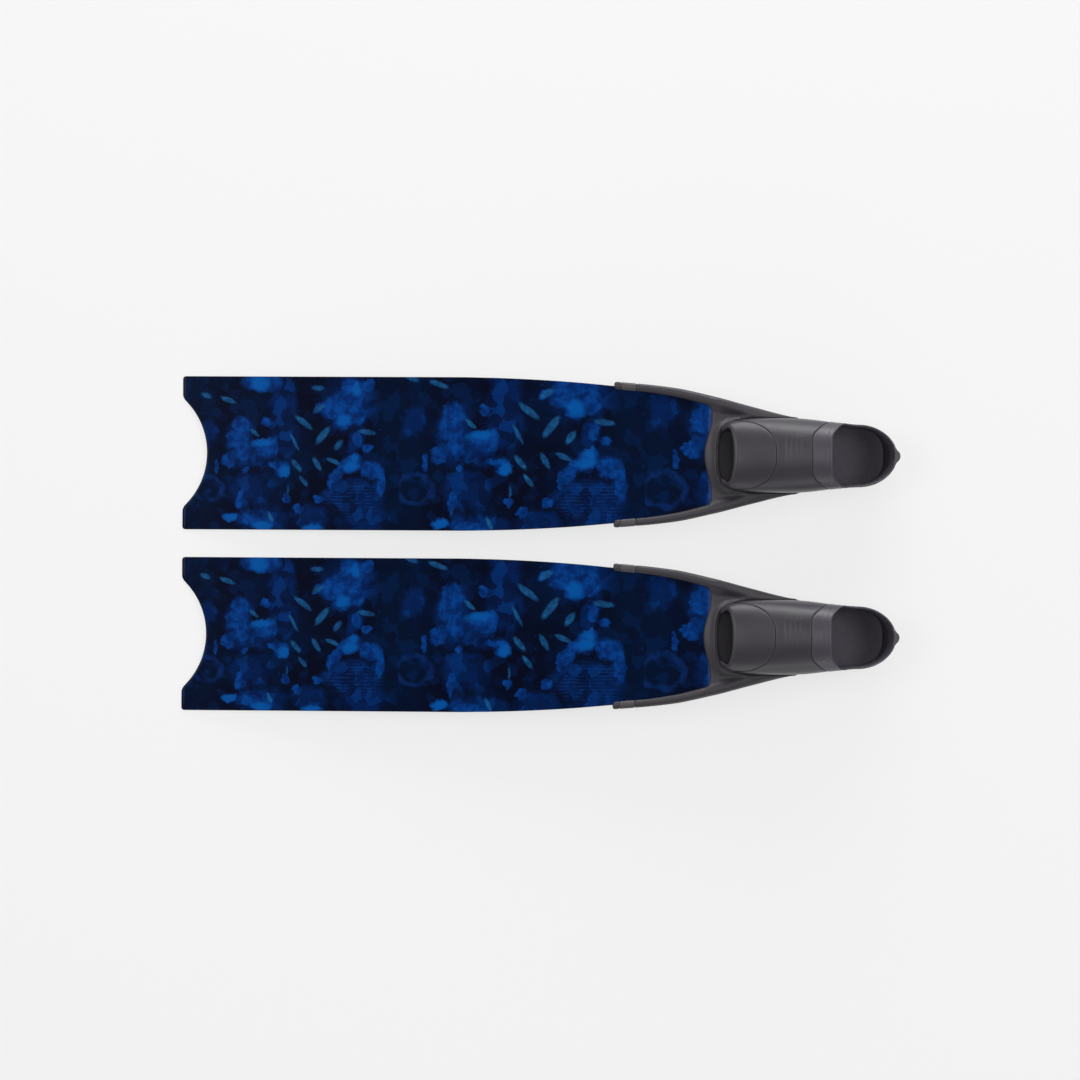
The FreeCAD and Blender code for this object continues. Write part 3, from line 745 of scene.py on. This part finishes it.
# The print of the blade. Places are mm along the blade from the tip and mm across from the middle.
# A shape is an ellipse: (along, across, half length, half width, turn in degrees).
PRINT_START, PRINT_REPEATS = 17.0, ((285.0, 1.19), (606.0, 1.415))
PRINT_LEVEL = -45.0                         # the line across which the repeats grow
PANELS = [
    (133, 60, 17, 36, 0), (133, 22, 20, 24, 0), (226, -58, 36, 22, 0), (238, -84, 32, 16, 0),
    (168, -84, 24, 14, 0), (90, -46, 27, 20, 0), (34, 28, 12, 17, 0), (228, 20, 10, 22, -20),
    (106, -5, 18, 16, 0), (76, 14, 17, 32, 0), (106, -86, 34, 14, 0), (216, 66, 34, 32, 0),
]
SHADE_PANELS = [(272, 0, 18, 120, 0), (17, 0, 32, 120, 0), (286, 0, 12, 120, 0)]
BLOBS = [
    (104, 93, 25, 13, 0), (77, 37, 11, 12, 0), (73, 20, 14, 12, 0), (80, 4, 9, 14, 0),
    (60, -9, 8, 9, 0), (111, 7, 13, 11, 0), (122, 9, 5, 12, 0), (110, 41, 6, 6, 0),
    (132, -22, 9, 10, 0), (122, -17, 8, 4, -30), (200, 62, 21, 14, 35), (223, 78, 15, 19, 0),
    (229, 50, 12, 12, 0), (179, 59, 9, 5, 30), (244, 89, 8, 8, 0), (204, -27, 7, 14, -30),
    (227, -6, 9, 7, 0), (249, -22, 15, 12, -20), (261, -40, 6, 18, 0), (195, -37, 4, 9, 0),
    (137, -60, 6, 5, 0), (152, -71, 6, 6, 0), (179, -60, 6, 5, 0), (95, -87, 22, 7, -5),
    (105, -94, 14, 7, 0), (76, -60, 4, 13, -8), (83, -23, 4, 4, 0), (231, 19, 6, 10, 0),
    (243, 7, 7, 5, 0), (62, -83, 10, 5, 5), (211, 44, 13, 12, 0), (222, -15, 15, 11, 20),
    (45, -17, 3, 9, 0),
]
CORES = [
    (102, 92, 12, 10, 0), (211, 44, 9, 8, 0), (222, -16, 10, 7, 20), (134, -24, 6, 7, 0),
    (106, 14, 14, 5, 12), (104, -94, 12, 5, 0), (170, -97, 12, 4, 0), (228, 84, 6, 9, 0),
    (226, -5, 6, 5, 0), (63, -83, 8, 4, 5),
]
FLECKS = [
    (31, 75, 7, 3, -20), (60, 69, 10, 3, -20), (159, 40, 13, 3.6, -38), (184, 23, 13, 4.2, 52),
    (205, 11, 8, 3.6, 55), (198, -10, 9, 2.8, -22), (177, -14, 9, 3.2, -60), (150, -16, 9, 3.2, -50),
    (159, -36, 8, 2.6, -52), (147, 15, 12, 2.0, -62), (242, 28, 11, 3.2, -8), (178, 85, 8, 3.2, 0),
    (116, -83, 7, 2.2, -65), (95, 26, 7, 2.4, -40), (139, -48, 6, 1.4, 88), (179, 59, 8, 3.2, 30),
]
RING = (34, -46, 19, 16, 0)


def print_place(recipe, flat):
    """Place inside one repeat of the print, in mm: the repeats grow towards the foot."""
    split = recipe.node("ShaderNodeSeparateXYZ", Vector=flat)
    along = recipe.math("MULTIPLY", split.outputs["X"], 1000.0)
    across = recipe.math("MULTIPLY", split.outputs["Y"], 1000.0)
    start, size, offset = 0.0, 1.0, 0.0
    last_start, last_size = 0.0, 1.0
    for begin, grown in PRINT_REPEATS:
        past = recipe.math("GREATER_THAN", along, begin)
        start = recipe.math("MULTIPLY_ADD", past, begin - last_start, start)
        size = recipe.math("MULTIPLY_ADD", past, 1 / grown - 1 / last_size, size)
        if last_start == 0.0:
            offset = recipe.math("MULTIPLY", past, PRINT_START)
        last_start, last_size = begin, grown
    local = recipe.math("MULTIPLY_ADD", recipe.math("SUBTRACT", along, start), size, offset)
    lifted = recipe.math("SUBTRACT", across, PRINT_LEVEL)
    local_across = recipe.math("MULTIPLY_ADD", lifted, size, PRINT_LEVEL)
    return recipe.node("ShaderNodeCombineXYZ", X=local, Y=local_across).outputs[0]


def shape_distance(recipe, place, shape):
    """1 on the shape's outline, less inside."""
    along, across, half_length, half_width, turn = shape
    moved = recipe.node("ShaderNodeMapping", {"vector_type": "TEXTURE"}, Vector=place,
                        Location=(along, across, 0), Rotation=(0, 0, math.radians(turn)),
                        Scale=(half_length, half_width, 1))
    return recipe.node("ShaderNodeVectorMath", {"operation": "LENGTH"},
                       Vector=moved.outputs[0]).outputs["Value"]


def shapes_mask(recipe, place, shapes, soft, under=None):
    """1 inside any of the shapes, with an edge that is soft by a share of their size.

    Shapes shift by half a millimetre where they lie over the mask under them. That also makes the
    renderer finish one group of shapes before the next, because it has little room for all at once.
    """
    if under is not None:
        shift = recipe.node("ShaderNodeVectorMath", {"operation": "MULTIPLY_ADD"})
        recipe.put(shift.inputs[0], under)
        shift.inputs[1].default_value = (0.5, 0.5, 0)
        recipe.put(shift.inputs[2], place)
        place = shift.outputs[0]
    nearest = shape_distance(recipe, place, shapes[0])
    for shape in shapes[1:]:
        nearest = recipe.math("MINIMUM", nearest, shape_distance(recipe, place, shape))
    return recipe.band(nearest, 1 + soft, 1 - soft)


def wobbled(recipe, place, flat, scale, reach):
    """A place pushed about by noise, so that outlines come out ragged."""
    noise = recipe.node("ShaderNodeTexNoise", Vector=flat, Scale=scale, Detail=4.0, Roughness=0.6)
    push = recipe.node("ShaderNodeVectorMath", {"operation": "MULTIPLY_ADD"})
    recipe.put(push.inputs[0], noise.outputs["Color"])
    push.inputs[1].default_value = (2 * reach, 2 * reach, 0)
    recipe.put(push.inputs[2], place)
    shift = recipe.node("ShaderNodeVectorMath", {"operation": "SUBTRACT"})
    recipe.put(shift.inputs[0], push.outputs[0])
    shift.inputs[1].default_value = (reach, reach, 0)
    return shift.outputs[0]


def camo_laminate():
    """Printed sea camouflage under a clear gloss coat, on a fine woven laminate."""
    recipe = Recipe("blade_laminate")
    flat = recipe.node("ShaderNodeUVMap", {"uv_map": "print"}).outputs["UV"]
    place = print_place(recipe, flat)
    rough_place = wobbled(recipe, place, flat, 42.0, 13.0)
    ragged_place = wobbled(recipe, wobbled(recipe, place, flat, 55.0, 6.0), flat, 150.0, 3.6)
    fine_place = wobbled(recipe, place, flat, 170.0, 1.5)

    deep = recipe.band(recipe.noise(flat, 11.0, 5.0, 0.6), 0.42, 0.68)
    tone = recipe.mix(deep, srgb(4, 9, 31), srgb(1, 20, 52))
    shade = shapes_mask(recipe, place, SHADE_PANELS, 0.35)
    tone = recipe.mix(recipe.math("MULTIPLY", shade, 0.75), tone, srgb(1, 20, 50))
    mottle = recipe.noise(flat, 75.0, 5.0, 0.65)
    panels = shapes_mask(recipe, rough_place, PANELS, 0.3)
    panels = recipe.math("MULTIPLY", panels, recipe.band(mottle, 0.2, 0.6, 0.45, 1.0))
    tone = recipe.mix(panels, tone, srgb(1, 33, 86))
    patches = recipe.node("ShaderNodeTexVoronoi", {"feature": "SMOOTH_F1"}, Scale=0.085,
                          Smoothness=0.12, Vector=ragged_place).outputs["Color"]
    patch = recipe.node("ShaderNodeSeparateColor", Color=patches)
    lit = recipe.math("MULTIPLY", recipe.band(patch.outputs["Red"], 0.6, 0.72),
                      recipe.math("MULTIPLY_ADD", panels, 0.42, 0.14))
    tone = recipe.mix(lit, tone, srgb(2, 54, 124))
    unlit = recipe.math("MULTIPLY", recipe.band(patch.outputs["Green"], 0.66, 0.76), 0.6)
    tone = recipe.mix(unlit, tone, srgb(3, 13, 40))
    off_ring = recipe.math("SUBTRACT", shape_distance(recipe, ragged_place, RING), 1.0)
    away = recipe.math("ABSOLUTE", off_ring)
    ring = recipe.math("MULTIPLY", recipe.band(away, 0.28, 0.04), recipe.band(mottle, 0.3, 0.55))
    tone = recipe.mix(recipe.math("MULTIPLY", ring, 0.7), tone, srgb(7, 44, 104))
    lines = recipe.node("ShaderNodeTexWave", {"bands_direction": "Y"}, Vector=flat, Scale=70.0,
                        Distortion=3.0)
    lines = recipe.band(lines.outputs["Fac"], 0.72, 0.95)
    lines = recipe.math("MULTIPLY", lines, recipe.band(mottle, 0.42, 0.6))
    lines = recipe.math("MULTIPLY", lines, shapes_mask(recipe, place, [PANELS[2]], 0.3))
    tone = recipe.mix(recipe.math("MULTIPLY", lines, 0.6), tone, srgb(20, 62, 130))
    blobs = shapes_mask(recipe, ragged_place, BLOBS, 0.2, panels)
    blue = recipe.mix(recipe.band(mottle, 0.35, 0.68), srgb(2, 38, 98), srgb(4, 68, 148))
    tone = recipe.mix(blobs, tone, blue)
    cores = shapes_mask(recipe, ragged_place, CORES, 0.45, blobs)
    tone = recipe.mix(recipe.math("MULTIPLY", cores, 0.9), tone, srgb(3, 86, 166))
    flecks = shapes_mask(recipe, fine_place, FLECKS, 0.3, cores)
    cyan = recipe.mix(recipe.band(mottle, 0.3, 0.7), srgb(12, 52, 98), srgb(28, 96, 150))
    tone = recipe.mix(recipe.math("MULTIPLY", flecks, 0.92), tone, cyan)
    specks = recipe.node("ShaderNodeTexVoronoi", Vector=flat, Scale=95.0)
    speck = recipe.band(specks.outputs["Distance"], 0.16, 0.08)
    speck = recipe.math("MULTIPLY", speck, recipe.band(mottle, 0.5, 0.62))
    tone = recipe.mix(recipe.math("MULTIPLY", speck, 0.5), tone, srgb(16, 58, 112))

    weave = recipe.node("ShaderNodeTexChecker", Vector=flat, Scale=900.0).outputs["Fac"]
    dust = recipe.noise(flat, 30.0, 6.0, 0.7)
    sheen = recipe.math("ADD", recipe.math("MULTIPLY", dust, 0.16), 0.2)
    recipe.set(Base_Color=tone, Roughness=sheen, Coat_Weight=0.12, Coat_Roughness=0.06,
               Specular_IOR_Level=0.04, Normal=recipe.relief(weave, 0.000015, 0.25))
    return recipe.material


def laminate_edge():
    """Cut and sanded edge of the laminate: dark resin with pale layers of glass."""
    recipe = Recipe("blade_edge")
    place = recipe.object_place()
    stretched = recipe.node("ShaderNodeMapping", Vector=place, Scale=(1, 1, 14)).outputs[0]
    fibres = recipe.noise(stretched, 240.0)
    tone = recipe.mix(recipe.band(fibres, 0.4, 0.7), srgb(14, 16, 24), srgb(44, 48, 56))
    sheen = recipe.math("ADD", recipe.math("MULTIPLY", fibres, 0.2), 0.35)
    recipe.set(Base_Color=tone, Roughness=sheen, Normal=recipe.relief(fibres, 0.00004))
    return recipe.material


HARD_RUBBER = rubber("hard_rubber", srgb(50, 47, 53), srgb(57, 54, 60), 0.45)
SOFT_RUBBER = rubber("soft_rubber", srgb(54, 51, 58), srgb(62, 59, 66), 0.4)
COLLAR_RUBBER = rubber("collar_rubber", srgb(67, 64, 73), srgb(75, 72, 80), 0.38)
SLEEVE_RUBBER = rubber("sleeve_rubber", srgb(70, 67, 70), srgb(78, 75, 78), 0.45)
TREAD_RUBBER = rubber("tread_rubber", srgb(40, 38, 41), srgb(48, 46, 49), 0.7)
FOOTBED = footbed_foam()
SCREW_STEEL = metal("screw_steel", (0.62, 0.62, 0.64, 1), 0.22)
INSERT_BRASS = metal("insert_brass", (0.76, 0.55, 0.26, 1), 0.25)
CAMO = camo_laminate()
BLADE_EDGE = laminate_edge()


# ------------------------------------------------------------------ building
COARSER = 1.0        # wider mesh steps while trying things
UPPER_STEP, FRAME_STEP, SLEEVE_STEP = 1.5 * COARSER, 1.5 * COARSER, 0.7 * COARSER
FRAME_GRID = (88, -101, -4), (454, 101, 86)
SLEEVE_GRID_Y = (78, 99)                    # each side of the midline
# Name, field, lowest and highest corner of its grid, material. Flat faces stay off the grid's planes.
UPPERS = [
    ("toe_cap", toe_cap_field, (-6, -52, 10), (80, 52, 66), SOFT_RUBBER),
    ("vamp", vamp_field, (-6, -54, 10), (154, 54, 100), SOFT_RUBBER),
    ("collar", collar_field, (96, -52, 30), (242, 52, 100), COLLAR_RUBBER),
    ("heel_cup", heel_cup_field, (132, -50, 10), (238, 50, 64), SOFT_RUBBER),
    ("footbed", footbed_field, (0, -50, 4.3), (232, 50, 30), FOOTBED),
]


def build_pocket():
    """The uppers, the sole frame and the tip sleeves, each placed for both fins."""
    for part, field, low, high, material in UPPERS:
        points, faces = surface_net(field, low, high, UPPER_STEP)
        print(part, len(faces), flush=True)
        place_twice(part, tilted(points), faces, material, "foot_pocket", [part])
    points, faces = surface_net(sole_frame_field, *FRAME_GRID, FRAME_STEP)
    print("sole_frame", len(faces), flush=True)
    place_twice("sole_frame", points, faces, HARD_RUBBER, "foot_pocket", ["sole_frame"])
    for part, sign in (("outer_tip_sleeve", 1), ("inner_tip_sleeve", -1)):
        near, far = sorted(sign * y for y in SLEEVE_GRID_Y)
        points, faces = surface_net(sleeve_field, (98, near, 46), (128, far, 70), SLEEVE_STEP)
        place_twice(part, points, faces, SLEEVE_RUBBER, "foot_pocket", [part])


def build_blades():
    """The blades with their print and cut edge, bending between the pocket and the tip."""
    points, faces, prints, edge_faces = blade_mesh_data()
    pieces = place_twice("blade", points, faces, CAMO, None, ["blade"])
    for side, piece in pieces.items():
        piece.data.materials.append(BLADE_EDGE)
        for face in piece.data.polygons[len(faces) - edge_faces:]:
            face.material_index = 1
        layer = piece.data.uv_layers.new(name="print")
        corners = np.zeros(len(piece.data.loops), np.int32)
        piece.data.loops.foreach_get("vertex_index", corners)
        layer.data.foreach_set("uv", prints[corners].ravel().astype(np.float32))
        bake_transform(piece)


build_pocket()
build_blades()

# CAD nodes that show as they are, with a better material.
KEPT_NODES = [("heel_tread", TREAD_RUBBER), ("blade_screws", SCREW_STEEL),
              ("screw_inserts", INSERT_BRASS)]
for side in SIDES:
    for node, material in KEPT_NODES:
        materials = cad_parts[f"{side}_{node}"].data.materials
        materials.clear()
        materials.append(material)


# ------------------------------------------------------------------ stage, light, camera
FLOOR_REACH = 14.0
FLOOR_GREY, FLOOR_GLOW = 0.24, 0.705        # mostly its own light, which keeps the shadows faint
SKY, SKY_OVERHEAD = 0.42, 0.06
DIM_START, DIM_END = 0.55, 0.9              # height on the sky where the overhead patch starts and ends
FRAME_WIDTH = 1.4105                        # metres across the picture at the floor
CAMERA_HEIGHT = 10.0
CAMERA_PLACE = (-0.0013, 0.0066, CAMERA_HEIGHT)
CAMERA_ROLL = math.radians(0.32)
SENSOR = 36.0
LIGHTS = [                                  # place, aim, size in metres, power in watts
    ("side_wall", (0.2, 3.4, 1.0), (0, 0, 0), (3.2, 1.5), 90.0),
    ("heel_softbox", (3.3, 0.7, 3.2), (0, 0, 0), (2.4, 2.4), 46.0),
    ("tip_softbox", (-2.5, 0.7, 3.8), (0.1, 0, 0), (2.0, 2.0), 48.0),
    ("high_softbox", (0.6, 0.1, 4.4), (0.4, 0, 0), (1.3, 1.3), 18.0),
    ("fill", (0.4, -3.4, 0.9), (0, 0, 0), (2.8, 0.8), 15.0),
]


def area_light(name, place, aim, size, power):
    """Rectangular softbox turned towards a point."""
    data = bpy.data.lights.new(name, "AREA")
    data.shape = "RECTANGLE"
    data.size, data.size_y = size
    data.energy = power
    lamp = bpy.data.objects.new(name, data)
    lamp.location = place
    lamp.rotation_euler = (Vector(aim) - Vector(place)).to_track_quat("-Z", "Y").to_euler()
    bpy.context.scene.collection.objects.link(lamp)


def make_stage():
    """Plain pale floor."""
    mesh = bpy.data.meshes.new("floor")
    reach = FLOOR_REACH
    mesh.from_pydata([(-reach, -reach, 0), (reach, -reach, 0), (reach, reach, 0), (-reach, reach, 0)],
                     [], [(0, 1, 2, 3)])
    floor = bpy.data.objects.new("floor", mesh)
    bpy.context.scene.collection.objects.link(floor)
    recipe = Recipe("pale_floor")
    recipe.set(Base_Color=(FLOOR_GREY, FLOOR_GREY, FLOOR_GREY, 1), Roughness=0.9,
               Emission_Color=(1, 1, 1, 1), Emission_Strength=FLOOR_GLOW, Specular_IOR_Level=0.0)
    mesh.materials.append(recipe.material)


def make_world():
    """Soft even light with a dim patch straight overhead."""
    world = bpy.data.worlds.new("soft_studio")
    world.use_nodes = True
    nodes, links = world.node_tree.nodes, world.node_tree.links
    split = nodes.new("ShaderNodeSeparateXYZ")
    links.new(nodes.new("ShaderNodeTexCoord").outputs["Generated"], split.inputs[0])
    dimming = nodes.new("ShaderNodeMapRange")
    dimming.interpolation_type = "SMOOTHSTEP"
    for key, level in (("From Min", DIM_START), ("From Max", DIM_END),
                       ("To Min", SKY), ("To Max", SKY_OVERHEAD)):
        dimming.inputs[key].default_value = level
    links.new(split.outputs["Z"], dimming.inputs["Value"])
    links.new(dimming.outputs["Result"], nodes["Background"].inputs["Strength"])
    nodes["Background"].inputs["Color"].default_value = (1, 1, 1, 1)
    bpy.context.scene.world = world


def make_camera():
    """Camera straight overhead, looking down."""
    data = bpy.data.cameras.new("camera")
    data.sensor_width = SENSOR
    data.lens = SENSOR * CAMERA_HEIGHT / FRAME_WIDTH
    camera = bpy.data.objects.new("camera", data)
    camera.location = CAMERA_PLACE
    camera.rotation_euler = (0, 0, CAMERA_ROLL)
    bpy.context.scene.collection.objects.link(camera)
    bpy.context.scene.camera = camera


make_camera()
make_stage()
make_world()
for light in LIGHTS:
    area_light(*light)
bpy.context.scene.view_settings.view_transform = "Standard"
